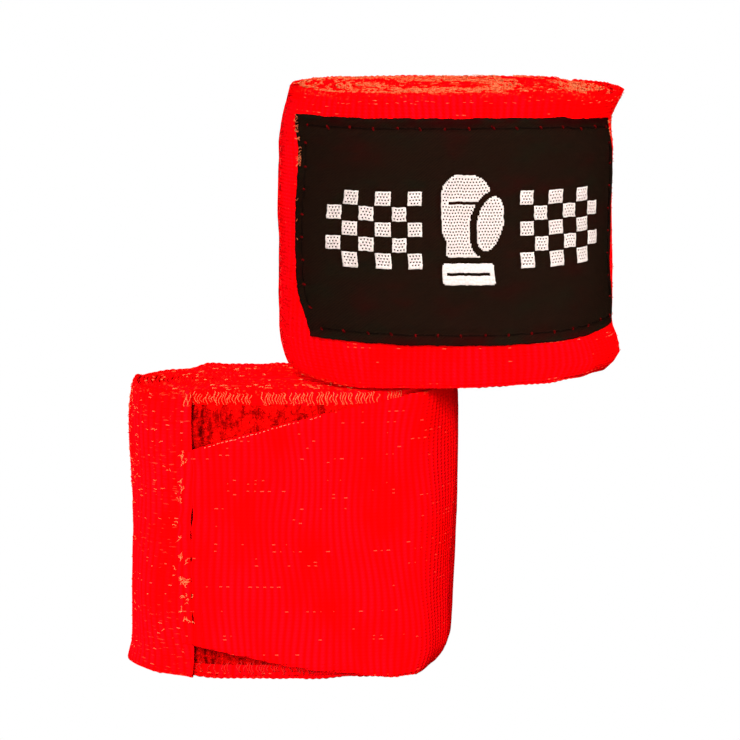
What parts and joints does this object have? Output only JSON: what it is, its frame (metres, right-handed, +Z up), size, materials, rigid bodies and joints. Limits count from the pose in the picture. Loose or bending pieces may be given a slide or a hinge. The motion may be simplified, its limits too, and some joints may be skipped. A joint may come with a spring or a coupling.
{
  "type": "hand wrap",
  "caption": "Red elastic boxing hand wraps wound into stacked oval rolls, each closed by a tapered flap and a hook-and-loop strap that carries a black woven label.",
  "frame": {"origin": "middle of the pair's footprint box, on the plane the lower roll stands on", "axes": "+Z up along both rolls' winding axes; -Y is the side that shows the upper roll's label and the lower roll's seam; +X to the right seen from -Y"},
  "size_m": [0.0837, 0.0454, 0.1004],
  "materials": {
    "band_red": "ribbed elastic cotton knit, matt",
    "thread_red": "polyester sewing thread",
    "loop_pile": "brushed nylon loop pile",
    "hook_tape": "moulded nylon hooks on woven tape",
    "label_black": "woven damask label, slight sheen"
  },
  "bodies": {
    "lower_roll": {"lower_band_coil": "band_red", "lower_thumb_loop": "band_red", "lower_thumb_tack": "thread_red", "lower_loop_patch": "loop_pile", "lower_loop_patch_thread": "thread_red"},
    "lower_flap": {"lower_flap": "band_red", "lower_flap_top_thread": "thread_red", "lower_flap_bottom_thread": "thread_red", "lower_seam_thread": "thread_red"},
    "lower_strap_root": {"lower_strap_root": "band_red"},
    "lower_strap_panel": {"lower_strap_panel": "band_red", "lower_hook_patch": "hook_tape", "lower_label": "label_black", "lower_label_thread": "thread_red"},
    "lower_strap_tip": {"lower_strap_tip": "band_red", "lower_tip_thread": "thread_red"},
    "upper_roll": {"upper_band_coil": "band_red", "upper_thumb_loop": "band_red", "upper_thumb_tack": "thread_red", "upper_loop_patch": "loop_pile", "upper_loop_patch_thread": "thread_red"},
    "upper_flap": {"upper_flap": "band_red", "upper_flap_top_thread": "thread_red", "upper_flap_bottom_thread": "thread_red", "upper_seam_thread": "thread_red"},
    "upper_strap_root": {"upper_strap_root": "band_red"},
    "upper_strap_panel": {"upper_strap_panel": "band_red", "upper_hook_patch": "hook_tape", "upper_label": "label_black", "upper_label_thread": "thread_red"},
    "upper_strap_tip": {"upper_strap_tip": "band_red", "upper_tip_thread": "thread_red"}
  },
  "joints": [
    {"name": "upper_roll_lift", "type": "slide", "parent": "lower_roll", "child": "upper_roll", "axis": [0, 0, 1], "range_m": [0, 0.06]},
    {"name": "lower_flap_lift", "type": "hinge", "parent": "lower_roll", "child": "lower_flap", "pos_m": [0.01352, -0.01029, 0], "axis": [0, 0, 1], "range_deg": [0, 12]},
    {"name": "lower_root_bend", "type": "hinge", "parent": "lower_flap", "child": "lower_strap_root", "pos_m": [-0.03085, -0.02058, 0], "axis": [0, 0, 1], "range_deg": [0, 36]},
    {"name": "lower_closure_open", "type": "hinge", "parent": "lower_strap_root", "child": "lower_strap_panel", "pos_m": [-0.04003, -0.01263, 0], "axis": [0, 0, 1], "range_deg": [0, 120]},
    {"name": "lower_tip_curl", "type": "hinge", "parent": "lower_strap_panel", "child": "lower_strap_tip", "pos_m": [0.01469, 0.00129, 0], "axis": [0, 0, 1], "range_deg": [0, 36]},
    {"name": "upper_flap_lift", "type": "hinge", "parent": "upper_roll", "child": "upper_flap", "pos_m": [-0.01055, 0.01263, 0.0504], "axis": [0, 0, 1], "range_deg": [0, 12]},
    {"name": "upper_root_bend", "type": "hinge", "parent": "upper_flap", "child": "upper_strap_root", "pos_m": [0.03505, 0.0159, 0.0504], "axis": [0, 0, 1], "range_deg": [0, 36]},
    {"name": "upper_closure_open", "type": "hinge", "parent": "upper_strap_root", "child": "upper_strap_panel", "pos_m": [0.04129, 0.00544, 0.0504], "axis": [0, 0, 1], "range_deg": [0, 120]},
    {"name": "upper_tip_curl", "type": "hinge", "parent": "upper_strap_panel", "child": "upper_strap_tip", "pos_m": [-0.01328, -0.01178, 0.0504], "axis": [0, 0, 1], "range_deg": [0, 36]}
  ],
  "couplings": [
    {"joint": "lower_flap_lift", "follows": "lower_closure_open", "ratio": 0.1},
    {"joint": "lower_root_bend", "follows": "lower_closure_open", "ratio": 0.3},
    {"joint": "lower_tip_curl", "follows": "lower_closure_open", "ratio": 0.3},
    {"joint": "upper_flap_lift", "follows": "upper_closure_open", "ratio": 0.1},
    {"joint": "upper_root_bend", "follows": "upper_closure_open", "ratio": 0.3},
    {"joint": "upper_tip_curl", "follows": "upper_closure_open", "ratio": 0.3}
  ]
}
